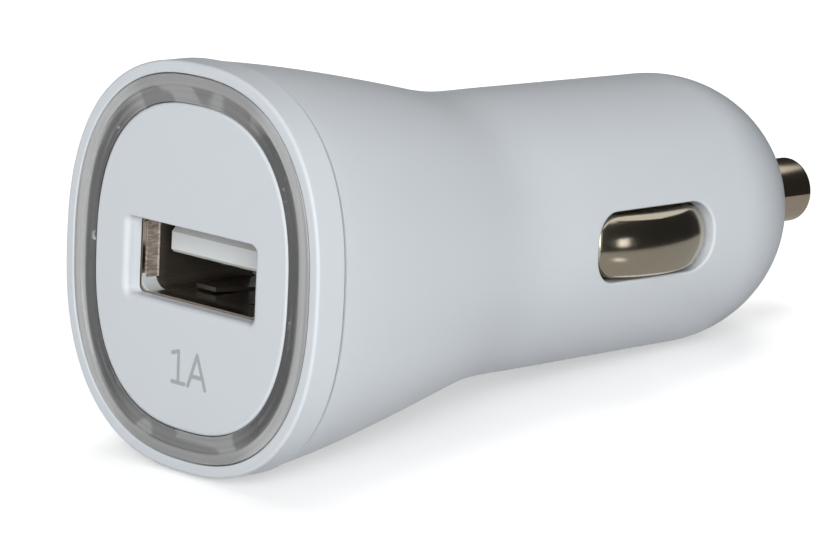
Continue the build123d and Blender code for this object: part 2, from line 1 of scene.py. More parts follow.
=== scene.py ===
from math import asin, cos, pi, radians, sin, sqrt

import bpy
import numpy as np
from mathutils import Matrix, Vector


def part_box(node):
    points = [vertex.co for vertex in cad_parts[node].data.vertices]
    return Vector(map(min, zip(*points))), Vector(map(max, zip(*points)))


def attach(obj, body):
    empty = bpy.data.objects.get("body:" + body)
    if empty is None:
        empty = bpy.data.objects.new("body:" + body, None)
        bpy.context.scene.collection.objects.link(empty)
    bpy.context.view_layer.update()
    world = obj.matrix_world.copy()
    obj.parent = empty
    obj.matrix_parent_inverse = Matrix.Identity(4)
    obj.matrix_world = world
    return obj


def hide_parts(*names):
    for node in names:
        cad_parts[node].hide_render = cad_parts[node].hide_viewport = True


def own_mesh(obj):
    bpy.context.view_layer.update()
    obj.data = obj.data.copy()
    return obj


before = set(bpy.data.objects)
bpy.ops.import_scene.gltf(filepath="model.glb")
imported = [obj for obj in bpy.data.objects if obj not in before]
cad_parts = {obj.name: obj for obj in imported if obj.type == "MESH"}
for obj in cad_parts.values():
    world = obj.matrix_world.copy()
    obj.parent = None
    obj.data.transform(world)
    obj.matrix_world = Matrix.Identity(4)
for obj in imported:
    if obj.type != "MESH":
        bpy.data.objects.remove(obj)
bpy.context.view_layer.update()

# Housing. One moulding of satin white plastic: a tall oval head flares down to the round barrel
# and the domed nose. Slides in the mould leave the two slots for the side contacts, and all the
# works are pushed in through the open mouth.
MM = 0.001
MOUTH_HALF = (12.95, 14.05)
HEAD_HALF = (12.95, 14.25)
HEAD_SQUARENESS = 2.42
FLARE_POWER = 1.3
SEAM_Y = -21.95
NECK_Y = -1.5
NECK_REACH = 3.0
BARREL_R = 10.4
SEAT_END_Y = 5.2
NOSE_Y = 21.9
NOSE_R = 10.28
NOSE_REACH = 10.95
NOSE_FACE_R = 3.6
NOSE_SEAT_THICKNESS = 2.6
BORE_R = 2.6
BORE_BEVEL = 0.15
WALL = 1.4
MOUTH_DEPTH = 3.12
MOUTH_EDGE = 0.06
SLOT_START = 5.6
SLOT_LENGTH = 12.5
SLOT_HEIGHT = 5.2
SLOT_CORNER = 2.2
SLOT_EDGE = 0.2
SLOT_MARGIN = 0.9
SLOT_BLEND = (0.35, 0.65, 0.85, 1.0)
ROUND_STEPS = np.radians((18, 36, 54, 72, 90))
FLAT_HOLD = 0.1
EDGE_ROWS = 5
HEAD_ROWS = 40
NECK_ROWS = 28
SEAT_ROWS = 9
REAR_ROWS = 8
DOME_ROWS = 30
INNER_DOME_ROWS = 12
INNER_HEAD_ROWS = 26
SLOT_ROWS = 48
SLOT_COLUMNS = 24
AROUND = 240
SHARP_EDGE = radians(38)
CLOUD_LUMPS = 90.0
GRAIN_LUMPS = 5200.0
GRAIN_HEIGHT = 0.00002
SATIN_SPREAD = 0.08
SATIN_ROUGHNESS = 0.42
PLASTIC_WHITE = (0.735, 0.775, 0.815, 1)
PLASTIC_WHITE_DEEP = (0.705, 0.75, 0.795, 1)
SEAM_SHADE = (0.52, 0.58, 0.61, 1)
NOSE_FACE_Y = NOSE_Y + NOSE_REACH * sqrt(1 - (NOSE_FACE_R / NOSE_R) ** 2)
NOSE_SEAT_Y = NOSE_FACE_Y - NOSE_SEAT_THICKNESS


def oval(half_width, half_height, squareness, turn):
    """Superellipse: x = a sgn(cos t)|cos t|^(2/n) and z = b sgn(sin t)|sin t|^(2/n) at each turn t."""
    across = np.sign(np.cos(turn)) * np.abs(np.cos(turn)) ** (2 / squareness)
    upward = np.sign(np.sin(turn)) * np.abs(np.sin(turn)) ** (2 / squareness)
    return half_width * across, half_height * upward


def carried(half_width, half_height, squareness, y, turn):
    """Grid of points: one oval for each entry of the size arrays, each at its own y."""
    rows = [column[:, None] for column in np.broadcast_arrays(half_width, half_height, squareness, y)]
    x, z = oval(*rows[:3], turn)
    return np.stack((x, rows[3] + 0 * turn, z), -1)


def skin(numbers):
    """Quads between neighbours in a grid of point numbers, facing out where rows run along +Y."""
    return np.stack((numbers[:-1, :-1], numbers[1:, :-1], numbers[1:, 1:], numbers[:-1, 1:]), -1)


def closed(numbers, rows=True):
    """The grid of point numbers with its first column again at the end, and its first row too."""
    numbers = np.hstack((numbers, numbers[:, :1]))
    return np.vstack((numbers, numbers[:1])) if rows else numbers


def rounded_outline(half_long, half_short, corner, long_count, short_count):
    """Rounded rectangle and its outward directions, from the middle of its lower left corner round.

    Each side runs from half a corner, along the straight, to half a corner, evenly by length:
    the direction turns by length over radius in the corners and stands still on the straight."""
    points, directions = [], []
    eighth = corner * pi / 4
    for quarter in range(4):
        half, other, count = (half_long, half_short, long_count)
        if quarter % 2:
            half, other, count = (half_short, half_long, short_count)
        straight = 2 * (half - corner)
        run = np.arange(count) / count * (2 * eighth + straight)
        bent = np.clip(run, 0, eighth) - eighth + np.clip(run - eighth - straight, 0, eighth)
        outward = np.stack((np.cos(bent / corner - pi / 2), np.sin(bent / corner - pi / 2)))
        centre = np.stack((np.clip(run - eighth, 0, straight) - half + corner, 0 * run - other + corner))
        tilt = quarter * pi / 2
        swing = np.array(((cos(tilt), -sin(tilt)), (sin(tilt), cos(tilt))))
        points.append(swing @ (centre + corner * outward))
        directions.append(swing @ outward)
    return np.hstack(points), np.hstack(directions)


def new_piece(name, points, faces):
    """Mesh object from points in millimetres and arrays of faces, smooth except at sharp edges."""
    mesh = bpy.data.meshes.new(name)
    corners = np.concatenate([block.reshape(-1) for block in faces]).astype(np.int32)
    sizes = np.concatenate([np.full(block.size // block.shape[-1], block.shape[-1]) for block in faces])
    mesh.vertices.add(len(points))
    mesh.vertices.foreach_set("co", (points * MM).reshape(-1).astype(np.float32))
    mesh.loops.add(len(corners))
    mesh.loops.foreach_set("vertex_index", corners)
    mesh.polygons.add(len(sizes))
    mesh.polygons.foreach_set("loop_start", (np.cumsum(sizes) - sizes).astype(np.int32))
    mesh.update(calc_edges=True)
    mesh.shade_smooth()
    mesh.set_sharp_from_angle(angle=SHARP_EDGE)
    piece = bpy.data.objects.new(name, mesh)
    bpy.context.scene.collection.objects.link(piece)
    return piece


class Wire:
    """A socket of one material's nodes. Operators add Math nodes, and node() adds any other."""

    def __init__(self, tree, socket=None):
        self.tree = tree
        self.socket = socket

    def feed(self, node, sockets):
        """Gives a node's sockets their values, or links them to other wires."""
        for key, value in sockets.items():
            if isinstance(value, Wire):
                self.tree.links.new(value.socket, node.inputs[key])
            else:
                node.inputs[key].default_value = value

    def node(self, kind, settings, sockets, out=0):
        """A new node of that type: its settings are made first, then its sockets are fed."""
        made = self.tree.nodes.new("ShaderNode" + kind)
        for key, value in settings.items():
            setattr(made, key, value)
        self.feed(made, sockets)
        return Wire(self.tree, made.outputs[out])

    def reckon(self, operation, first, second=0.0):
        """One Math node on two numbers or wires."""
        return self.node("Math", {"operation": operation}, {0: first, 1: second})

    def __add__(self, other):
        return self.reckon("ADD", self, other)

    def __radd__(self, other):
        return self.reckon("ADD", other, self)

    def __sub__(self, other):
        return self.reckon("SUBTRACT", self, other)

    def __rsub__(self, other):
        return self.reckon("SUBTRACT", other, self)

    def __mul__(self, other):
        return self.reckon("MULTIPLY", self, other)

    def __rmul__(self, other):
        return self.reckon("MULTIPLY", other, self)

    def __pow__(self, other):
        return self.reckon("POWER", self, other)

    def __gt__(self, other):
        return self.reckon("GREATER_THAN", self, other)

    def __lt__(self, other):
        return self.reckon("LESS_THAN", self, other)

    def __abs__(self):
        return self.reckon("ABSOLUTE", self)

    def ripple(self, pitch):
        """Sine of this length, from 0 to 1, with one whole wave in each pitch."""
        return self.reckon("SINE", self * (2 * pi / pitch)) * 0.5 + 0.5

    def rise(self, start, end):
        """0 up to the start, 1 from the end on, and a smooth step between."""
        span = {"From Min": start, "From Max": end}
        return self.node("MapRange", {"interpolation_type": "SMOOTHSTEP"}, {"Value": self, **span})

    def noise(self, scale, detail=2.0, squeeze=(1, 1, 1)):
        """Cloudy noise from 0 to 1, with that many lumps a metre, drawn out along each axis."""
        place = self.node("Mapping", {}, {"Vector": self, "Scale": squeeze})
        return self.node("TexNoise", {}, {"Vector": place, "Scale": scale, "Detail": detail})

    def blend(self, low, high):
        """The colour between low and high that this value stands for."""
        return self.node("Mix", {"data_type": "RGBA"}, {0: self, 6: low, 7: high}, 2)

    def axis(self, letter):
        """One coordinate of a place."""
        return self.node("SeparateXYZ", {}, {0: self}, letter)


def new_finish(name):
    """A node material: itself, the wire of its Object coordinates, and its main shader."""
    material = bpy.data.materials.new(name)
    material.use_nodes = True
    place = Wire(material.node_tree).node("TexCoord", {}, {}, "Object")
    return material, place, material.node_tree.nodes["Principled BSDF"]


def moulded_plastic(name, light, deep, roughness, seam=None):
    """Moulded plastic: faint clouding from the melt, and the fine satin grain of the mould.

    Where a seam's place along Y is given, the edge in front of it is darkened with painted shade."""
    material, place, shader = new_finish(name)
    cloud = place.noise(CLOUD_LUMPS, 3.0)
    colour = cloud.blend(light, deep)
    if seam is not None:
        # Painted shade: the seam's edge is darkened in the colour, not by light.
        colour = (place.axis("Y") < seam * MM).blend(colour, SEAM_SHADE)
    grain = place.noise(GRAIN_LUMPS)
    bump = place.node("Bump", {}, {"Height": grain, "Strength": 0.06, "Distance": GRAIN_HEIGHT})
    place.feed(
        shader,
        {
            "Base Color": colour,
            "Roughness": cloud * SATIN_SPREAD + (roughness - SATIN_SPREAD / 2),
            "Normal": bump,
            "Specular IOR Level": 0.3,
        },
    )
    return material


def flare(half, y):
    """Half width or height of the body at y.

    From the mouth it falls as R + (half - R)(1 - s^p), s being the share of the way to the neck.
    Round the neck a cubic carries the head's height and slope into the level barrel, which then
    thins a little to the nose."""
    length = NECK_Y - SEAM_Y
    start = NECK_Y - NECK_REACH
    share = np.clip((np.minimum(y, start) - SEAM_Y) / length, 0, 1)
    head = BARREL_R + (half - BARREL_R) * (1 - share**FLARE_POWER)
    start_share = (start - SEAM_Y) / length
    start_half = BARREL_R + (half - BARREL_R) * (1 - start_share**FLARE_POWER)
    slope = -(half - BARREL_R) * FLARE_POWER * start_share ** (FLARE_POWER - 1) / length
    t = np.clip((y - start) / (2 * NECK_REACH), 0, 1)
    neck = (2 * t**3 - 3 * t**2 + 1) * start_half + (3 * t**2 - 2 * t**3) * BARREL_R
    neck = neck + (t**3 - 2 * t**2 + t) * 2 * NECK_REACH * slope
    barrel = np.interp(y, (SEAT_END_Y, NOSE_Y), (BARREL_R, NOSE_R))
    return np.where(y < start, head, np.where(t < 1, neck, barrel))


def body_rows(y, inset):
    """Half width, half height, squareness and y of the body's sections, drawn in by the inset."""
    share = np.clip((y - SEAM_Y) / (NECK_Y - SEAM_Y), 0, 1)
    squareness = 2 + (HEAD_SQUARENESS - 2) * (1 - share)
    return np.stack((flare(MOUTH_HALF[0], y) - inset, flare(MOUTH_HALF[1], y) - inset, squareness, y), -1)


def turned_rows(radius, y):
    """Round rows for parts of the body that are turned about its axis."""
    radius, y = np.broadcast_arrays(np.asarray(radius, float), y)
    return np.stack((radius, radius, 0 * radius + 2, y), -1)


slot_end = SLOT_START + SLOT_LENGTH
slot_y = np.linspace(SLOT_START - SLOT_MARGIN, slot_end + SLOT_MARGIN, SLOT_ROWS)
edge_turn = np.linspace(0, pi / 2, EDGE_ROWS)
mouth_edge = body_rows(
    SEAM_Y + MOUTH_EDGE * (1 - np.cos(edge_turn)),
    MOUTH_EDGE * (1 - np.sin(edge_turn)),
)
head_y = np.linspace(SEAM_Y + 2 * MOUTH_EDGE, NECK_Y - NECK_REACH, HEAD_ROWS)
neck_y = np.linspace(NECK_Y - NECK_REACH, NECK_Y + NECK_REACH, NECK_ROWS)[1:]
seat_y = np.linspace(NECK_Y + NECK_REACH, slot_y[0], SEAT_ROWS)[1:-1]
rear_y = np.linspace(slot_y[-1], NOSE_Y, REAR_ROWS)[1:]
before_slot = np.concatenate((head_y, neck_y, seat_y))
dome_turn = np.linspace(0, asin((NOSE_FACE_Y - NOSE_Y) / NOSE_REACH), DOME_ROWS)[1:]
inner_turn = np.linspace(asin((NOSE_SEAT_Y - NOSE_Y) / (NOSE_REACH - WALL)), 0, INNER_DOME_ROWS)[:-1]
bevel_r = BORE_R + BORE_BEVEL
mouth_inner = [half - WALL for half in HEAD_HALF]
mouth_end = SEAM_Y + MOUTH_DEPTH
inner_head_y = np.linspace(seat_y[-1], mouth_end, INNER_HEAD_ROWS)
body_profile = (
    mouth_edge,
    body_rows(before_slot, 0),
    body_rows(slot_y, 0),
    body_rows(rear_y, 0),
    turned_rows(NOSE_R * np.cos(dome_turn), NOSE_Y + NOSE_REACH * np.sin(dome_turn)),
    turned_rows((NOSE_FACE_R - FLAT_HOLD, bevel_r + FLAT_HOLD, bevel_r), NOSE_FACE_Y),
    turned_rows(BORE_R, np.array((NOSE_FACE_Y - BORE_BEVEL, NOSE_FACE_Y - 2 * BORE_BEVEL, NOSE_SEAT_Y))),
    turned_rows((NOSE_R - WALL) * np.cos(inner_turn), NOSE_Y + (NOSE_REACH - WALL) * np.sin(inner_turn)),
    body_rows(rear_y[::-1], WALL),
    body_rows(slot_y[::-1], WALL),
    body_rows(inner_head_y, WALL),
    np.array([(*mouth_inner, HEAD_SQUARENESS, y) for y in (mouth_end, SEAM_Y + MOUTH_EDGE, SEAM_Y)]),
)
row_starts = np.cumsum([0] + [len(rows) for rows in body_profile])
turn = 2 * pi * (np.arange(AROUND) - SLOT_COLUMNS / 2) / AROUND
body = carried(*np.vstack(body_profile).T, turn)
numbers = np.arange(body[..., 0].size).reshape(body.shape[:2])
quads = skin(closed(numbers))
kept = np.ones(quads.shape[:2], bool)
body_points = [body.reshape(-1, 3)]
body_faces = []
slot_half = (SLOT_LENGTH / 2, SLOT_HEIGHT / 2)
outline, outward = rounded_outline(*slot_half, SLOT_CORNER, SLOT_ROWS - 1, SLOT_COLUMNS)
OUTER_SLOT, INNER_SLOT = row_starts[2], row_starts[9]


def window_rim(first, column, step):
    """Point numbers round a slot's window in the grid, starting along its first column."""
    window = numbers[first : first + SLOT_ROWS, column : column + SLOT_COLUMNS + 1][::step]
    return np.concatenate((window[:-1, 0], window[-1, :-1], window[:0:-1, -1], window[0, :0:-1]))


for side, column in ((1, 0), (-1, AROUND // 2)):
    outer_rim = window_rim(OUTER_SLOT, column, 1)
    inner_rim = window_rim(INNER_SLOT, column, -1)
    for first in (OUTER_SLOT, INNER_SLOT):
        kept[first : first + SLOT_ROWS - 1, column : column + SLOT_COLUMNS] = False
    facing = np.array(((1,), (side,)))
    edge = facing * outline + np.array((((SLOT_START + slot_end) / 2,), (0,)))
    outer_yz = body.reshape(-1, 3)[outer_rim][:, 1:].T
    inner_yz = body.reshape(-1, 3)[inner_rim][:, 1:].T
    rings = []
    lip = edge + SLOT_EDGE * facing * outward
    for share in SLOT_BLEND:
        rings.append((outer_yz + share * (lip - outer_yz), 0))
    for angle in ROUND_STEPS:
        grown = edge + SLOT_EDGE * (1 - sin(angle)) * facing * outward
        rings.append((grown, SLOT_EDGE * (1 - cos(angle))))
    rings.append((edge, 2 * SLOT_EDGE))
    rings.append((edge, WALL))
    rings.append(((edge + inner_yz) / 2, WALL))
    ring_points = []
    for (y, z), depth in rings:
        radius = np.interp(y, (SEAT_END_Y, NOSE_Y), (BARREL_R, NOSE_R)) - (WALL if depth == WALL else 0)
        x = side * (np.sqrt(radius**2 - z**2) - (0 if depth == WALL else depth))
        ring_points.append(np.stack((x, y, z), -1))
    start = sum(len(block) for block in body_points)
    ring_numbers = start + np.arange(len(rings) * outer_rim.size).reshape(len(rings), -1)
    body_points.append(np.concatenate(ring_points))
    band = np.vstack((outer_rim, ring_numbers, inner_rim))
    body_faces.append(skin(closed(band[::-1], rows=False)))
body_faces.append(quads[kept])

seam_end = SEAM_Y + MOUTH_EDGE
# The body's white carries painted shade along the seam at its mouth.
body_white = moulded_plastic("body_white", PLASTIC_WHITE, PLASTIC_WHITE_DEEP, SATIN_ROUGHNESS, seam_end)
shell = new_piece("body_shell", np.concatenate(body_points), body_faces)
shell.data.materials.append(body_white)
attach(shell, "plug")
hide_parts("housing")

# Nose tip. A turned brass pin with a polished nickel plate. It stands out of the nose, a flange
# inside keeps it there, and a coil spring behind the flange pushes it out.
TURNED = (0.02, 1, 0.02)
DRIFT_LUMPS = 300.0
MARK_LUMPS = 9000.0
MARK_HEIGHT = 0.00001
MARK_SPREAD = 0.05
TIP_NICKEL = (0.56, 0.475, 0.37, 1)
TIP_NICKEL_DEEP = (0.50, 0.42, 0.32, 1)


def plated_metal(name, light, deep, roughness, squeeze):
    """Plated metal: the colour drifts a little, and fine working marks run as the squeeze says."""
    material, place, shader = new_finish(name)
    drift = place.noise(DRIFT_LUMPS)
    marks = place.noise(MARK_LUMPS, 2.0, squeeze)
    bump = place.node("Bump", {}, {"Height": marks, "Strength": 0.04, "Distance": MARK_HEIGHT})
    place.feed(
        shader,
        {
            "Base Color": drift.blend(light, deep),
            "Metallic": 1.0,
            "Roughness": marks * MARK_SPREAD + (roughness - MARK_SPREAD / 2),
            "Normal": bump,
        },
    )
    return material


def dress(finish, *names):
    """Gives CAD nodes that finish."""
    for name in names:
        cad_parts[name].material_slots[0].material = finish


dress(plated_metal("tip_nickel", TIP_NICKEL, TIP_NICKEL_DEEP, 0.16, TURNED), "tip_contact")

# Tip spring and its terminal. The spring is wound from drawn steel wire. It bears on a bent strip
# of tinned brass that is soldered to the end of the board, and shortens as the tip is pressed in.
SPRING_WIRE_R = 0.3
SPRING_TURNS = 5.5
SPRING_STEPS = 180
WIRE_SIDES = 16
ACROSS = (0.06, 1, 1)
UPRIGHT = (1, 1, 0.06)
STEEL = (0.52, 0.52, 0.53, 1)
STEEL_DEEP = (0.42, 0.42, 0.43, 1)
STRIP_TIN = (0.70, 0.70, 0.69, 1)
STRIP_TIN_DEEP = (0.60, 0.60, 0.59, 1)


def capped(points):
    """Tube whose rings of points are the rows of a grid, with a flat cap at each end."""
    numbers = np.arange(points[..., 0].size).reshape(points.shape[:2])
    return points.reshape(-1, 3), [skin(closed(numbers, rows=False)), numbers[:1], numbers[-1:, ::-1]]


def coil(start, end, radius, wire_radius, turns):
    """Round wire on a helix: its middle is at (R sin t, y, R cos t), with y growing evenly with t.

    Each circle of the wire is spanned by the outward direction and the one across it and the run."""
    turn = np.linspace(0, 2 * pi * turns, SPRING_STEPS)[:, None]
    around = 2 * pi * np.arange(WIRE_SIDES)[:, None] / WIRE_SIDES
    rise = (end - start) / (2 * pi * turns)
    outward = np.stack((np.sin(turn), 0 * turn, np.cos(turn)), -1)
    run = np.stack((radius * np.cos(turn), 0 * turn + rise, -radius * np.sin(turn)), -1)
    across = np.cross(outward, run / np.linalg.norm(run, axis=-1, keepdims=True))
    middle = radius * outward + np.stack((0 * turn, start + rise * turn, 0 * turn), -1)
    return capped(middle + wire_radius * (np.cos(around) * outward + np.sin(around) * across))


spring_low, spring_high = (np.array(corner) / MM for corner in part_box("tip_spring"))
spring = new_piece(
    "tip_coil",
    *coil(
        spring_low[1] + SPRING_WIRE_R,
        spring_high[1] - SPRING_WIRE_R,
        spring_high[2] - SPRING_WIRE_R,
        SPRING_WIRE_R,
        SPRING_TURNS,
    ),
)
spring.data.materials.append(plated_metal("spring_steel", STEEL, STEEL_DEEP, 0.30, ACROSS))
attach(spring, "plug")
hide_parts("tip_spring")
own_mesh(spring)
dress(plated_metal("terminal_tin", STRIP_TIN, STRIP_TIN_DEEP, 0.38, UPRIGHT), "tip_terminal")

# Side contacts. Each is pressed from sheet brass with a crowned pad, then nickel plated and
# polished. Its leaf is fixed to the board by a round leg, and its spring holds the pad in the slot.
ALONG = (1, 0.05, 1)
PAD_NICKEL = (0.54, 0.48, 0.38, 1)
PAD_NICKEL_DEEP = (0.48, 0.425, 0.33, 1)
pad_nickel = plated_metal("pad_nickel", PAD_NICKEL, PAD_NICKEL_DEEP, 0.17, ALONG)
dress(pad_nickel, "ground_contact_right", "ground_contact_left")

# Circuit board. Glass cloth in epoxy, with a green mask on both faces. The cut edges and the holes
# show the bare yellowish laminate, and the cloth's weave prints through the mask.
MASK_GREEN = (0.006, 0.05, 0.024, 1)
MASK_GREEN_DEEP = (0.004, 0.035, 0.017, 1)
LAMINATE = (0.42, 0.36, 0.20, 1)
WEAVE_PITCH = 0.0005
WEAVE_HEIGHT = 0.00001
MASK_LUMPS = 400.0
FACE_SKIN = 0.00002
board_low, board_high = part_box("circuit_board")
board_paint, place, shader = new_finish("board_green")
board_middle = (board_low[2] + board_high[2]) / 2
board_half = (board_high[2] - board_low[2]) / 2
on_edge = abs(place.axis("Z") - board_middle) < board_half - FACE_SKIN
weave = place.axis("X").ripple(WEAVE_PITCH) * place.axis("Y").ripple(WEAVE_PITCH)
mask_colour = (place.noise(MASK_LUMPS) * 0.7 + weave * 0.3).blend(MASK_GREEN, MASK_GREEN_DEEP)
bump = place.node("Bump", {}, {"Height": weave, "Strength": 0.15, "Distance": WEAVE_HEIGHT})
place.feed(
    shader,
    {
        "Base Color": on_edge.blend(mask_colour, LAMINATE),
        "Roughness": on_edge * 0.4 + 0.34,
        "Normal": bump,
    },
)
dress(board_paint, "circuit_board")

# Converter chip. A black moulded package with a matt blasted top. Its eight bent leads are tinned
# copper and are soldered to the board along both sides.
CHIP_HALF_WIDTH = 1.96 * MM
TIN = (0.66, 0.66, 0.65, 1)
TIN_ROUGHNESS = 0.3
SPECK_LUMPS = 7000.0
SPECK_HEIGHT = 0.00001
PACKAGE_BLACK = (0.022, 0.022, 0.024, 1)
PACKAGE_BLACK_DEEP = (0.012, 0.012, 0.013, 1)


def tinned_ends(name, light, deep, middle, half, roughness):
    """Small part whose ends, further from its middle along X than the half given, are tinned."""
    material, place, shader = new_finish(name)
    ends = abs(place.axis("X") - middle) > half
    speck = place.noise(SPECK_LUMPS)
    bump = place.node("Bump", {}, {"Height": speck, "Strength": 0.2, "Distance": SPECK_HEIGHT})
    place.feed(
        shader,
        {
            "Base Color": ends.blend(speck.blend(light, deep), TIN),
            "Metallic": ends,
            "Roughness": roughness - ends * (roughness - TIN_ROUGHNESS),
            "Normal": bump,
        },
    )
    return material


package_black = tinned_ends("package_black", PACKAGE_BLACK, PACKAGE_BLACK_DEEP, 0.0, CHIP_HALF_WIDTH, 0.6)
dress(package_black, "converter_chip")

# Inductor. Enamelled copper wire wound in close turns on a drum of grey-black ferrite, which is
# fired and ground and glued to the board.
TURN_PITCH = 0.00035
TURN_HEIGHT = 0.0001
FERRITE = (0.055, 0.055, 0.058, 1)
FERRITE_DEEP = (0.03, 0.03, 0.032, 1)
COPPER_GROOVE_SHADE = (0.22, 0.07, 0.025, 1)
COPPER_CREST = (0.62, 0.26, 0.10, 1)
dress(moulded_plastic("ferrite", FERRITE, FERRITE_DEEP, 0.62), "inductor_core")
copper, place, shader = new_finish("copper_wire")
# Painted shade: the colour darkens in the grooves between the turns and lightens on their crests.
turns = place.axis("Z").ripple(TURN_PITCH)
bump = place.node("Bump", {}, {"Height": turns, "Strength": 0.8, "Distance": TURN_HEIGHT})
place.feed(
    shader,
    {
        "Base Color": turns.blend(COPPER_GROOVE_SHADE, COPPER_CREST),
        "Metallic": 1.0,
        "Roughness": turns * -0.1 + 0.4,
        "Normal": bump,
    },
)
dress(copper, "inductor_winding")

# Can capacitors. A drawn aluminium can, crimped round its rubber bung, on a square moulded foot.
# The dark segment on the top shows the negative side.
FOOT_HEIGHT = 0.9 * MM
SEGMENT_DEPTH = 1.9 * MM
CAN = (0.74, 0.74, 0.75, 1)
CAN_DEEP = (0.66, 0.66, 0.67, 1)
for node in ("input_capacitor", "output_capacitor"):
    low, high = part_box(node)
    can, place, shader = new_finish(node + "_can")
    foot = place.axis("Z") < low[2] + FOOT_HEIGHT + FACE_SKIN
    on_top = place.axis("Z") > high[2] - FACE_SKIN
    segment = on_top * (place.axis("Y") < low[1] + SEGMENT_DEPTH)
    dark = foot.reckon("MAXIMUM", foot, segment)
    drawn = place.noise(MARK_LUMPS, 2.0, UPRIGHT)
    place.feed(
        shader,
        {
            "Base Color": dark.blend(drawn.blend(CAN, CAN_DEEP), PACKAGE_BLACK),
            "Metallic": 1 - dark,
            "Roughness": drawn * 0.1 + 0.22 + dark * 0.3,
        },
    )
    dress(can, node)

# Small parts on the board. Fired ceramic capacitors, a moulded diode, a ceramic fuse and three
# film resistors, all with tinned end caps that are soldered to the board.
CERAMIC_TAN = ((0.42, 0.30, 0.17, 1), (0.36, 0.25, 0.13, 1))
CERAMIC_WHITE = ((0.74, 0.73, 0.69, 1), (0.66, 0.65, 0.61, 1))
MOULDED_BLACK = (PACKAGE_BLACK, PACKAGE_BLACK_DEEP)
CAPS_AND_ROUGHNESS = {
    "ceramic_capacitor_1": (CERAMIC_TAN, 0.4, 0.5),
    "ceramic_capacitor_2": (CERAMIC_TAN, 0.4, 0.5),
    "catch_diode": (MOULDED_BLACK, 0.5, 0.55),
    "input_fuse": (CERAMIC_WHITE, 0.5, 0.45),
    "feedback_resistor_upper": (MOULDED_BLACK, 0.4, 0.3),
    "feedback_resistor_lower": (MOULDED_BLACK, 0.4, 0.3),
    "led_resistor": (MOULDED_BLACK, 0.4, 0.3),
}
for node, ((light, deep), cap, roughness) in CAPS_AND_ROUGHNESS.items():
    low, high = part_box(node)
    middle = (low[0] + high[0]) / 2
    half = (high[0] - low[0]) / 2 - cap * MM - FACE_SKIN
    dress(tinned_ends(node + "_finish", light, deep, middle, half, roughness), node)

# Indicator lamps. Side-firing lamps with a clear epoxy lens, soldered under the board's front end
# where they shine into the clear ring.
LENS = (0.82, 0.86, 0.90, 1)
LENS_DEEP = (0.74, 0.79, 0.84, 1)
LENS_LUMPS = 1500.0
lens, place, shader = new_finish("led_clear")
tint = place.noise(LENS_LUMPS)
place.feed(
    shader,
    {
        "Base Color": tint.blend(LENS, LENS_DEEP),
        "Roughness": tint * 0.1 + 0.12,
        "Transmission Weight": 0.5,
        "IOR": 1.52,
    },
)
dress(lens, "indicator_led_left", "indicator_led_right")

# Port. A folded shell of nickel-plated steel round a white moulded tongue, with four gold-flashed
# contacts sprung under it. The shell's tabs and the contacts' legs are soldered to the board.
SHELL_MOUTH_Y = -23.25
SHELL_FADE = (0.5, 2.5)
SHELL_MATT = 0.45
TONGUE_TOP = 1.84
TONGUE_LUMPS = 600.0
TONGUE_WHITE = (0.80, 0.84, 0.85, 1)
TONGUE_WHITE_DEEP = (0.77, 0.81, 0.82, 1)
TONGUE_TOP_SHADE = (0.21, 0.21, 0.19, 1)
GOLD = (0.62, 0.45, 0.20, 1)
GOLD_DEEP = (0.54, 0.38, 0.16, 1)
SHELL_BRIGHT = (0.42, 0.36, 0.30, 1)
SHELL_PAINTED_SHADE = (0.08, 0.067, 0.055, 1)
shell_nickel, place, shader = new_finish("shell_nickel")
rolled = place.noise(MARK_LUMPS, 2.0, ALONG)
# Painted shade: the nickel's colour darkens with depth inside the mouth, and it is made less metallic
# there.
depth = place.axis("Y").rise(*((SHELL_MOUTH_Y + fade) * MM for fade in SHELL_FADE))
place.feed(
    shader,
    {
        "Base Color": (depth + rolled * 0.2 - 0.1).blend(SHELL_BRIGHT, SHELL_PAINTED_SHADE),
        "Metallic": 1 - depth * SHELL_MATT,
        "Roughness": rolled * 0.1 + 0.15,
    },
)
contact_gold = plated_metal("contact_gold", GOLD, GOLD_DEEP, 0.24, ALONG)
insulator_white, place, shader = new_finish("insulator_white")
cloud = place.noise(TONGUE_LUMPS)
# Painted shade: the tongue's top face, under the shell's top wall, is darkened in the colour.
shaded_top = place.axis("Z") > TONGUE_TOP * MM - FACE_SKIN
place.feed(
    shader,
    {
        "Base Color": shaded_top.blend(cloud.blend(TONGUE_WHITE, TONGUE_WHITE_DEEP), TONGUE_TOP_SHADE),
        "Roughness": cloud * 0.08 + 0.38,
    },
)
dress(shell_nickel, "usb_shell")
dress(insulator_white, "usb_insulator")
for lead in ("power", "data_minus", "data_plus", "ground"):
    dress(contact_gold, "usb_contact_" + lead)

# Guides in the port's mouth. A reeded strip of dull nickel lies on each side wall of the shell, and
# below it a small white moulded web rounds the corner. They are pressed in with the shell.
SHELL_HALF = (6.25, 2.56)
STRIP_DEPTHS = (0.35, 1.5)
STRIP_HEIGHTS = (-1.75, 2.46)
STRIP_THICKNESS = 0.1
STRIP_ROLL = 0.09
STRIP_ROWS = 24
ROLL_STEPS = 9
TICK_LUMPS = 3500.0
TICK_HEIGHT = 0.00012
WEAR_LUMPS = 1400.0
REED_DULL = (0.20, 0.165, 0.135, 1)
REED_BRIGHT = (0.58, 0.51, 0.45, 1)
WEB_RADIUS = 1.1
WEB_DEPTHS = (0.02, 1.3)
WEB_ROWS = 6
WEB_STEPS = 13
WEB_WHITE = (0.62, 0.64, 0.65, 1)
WEB_WHITE_DEEP = (0.50, 0.52, 0.53, 1)


def swept(profile, path):
    """Closed profile of points, carried to each place of a straight path, and capped."""
    return capped(profile[None] + path[:, None])


def joined(parts):
    """One set of points and faces from several, each one's numbers moved on past the last one's."""
    starts = np.cumsum([0] + [len(points) for points, faces in parts])
    faces = [block + start for (points, blocks), start in zip(parts, starts) for block in blocks]
    return np.concatenate([points for points, faces in parts]), faces


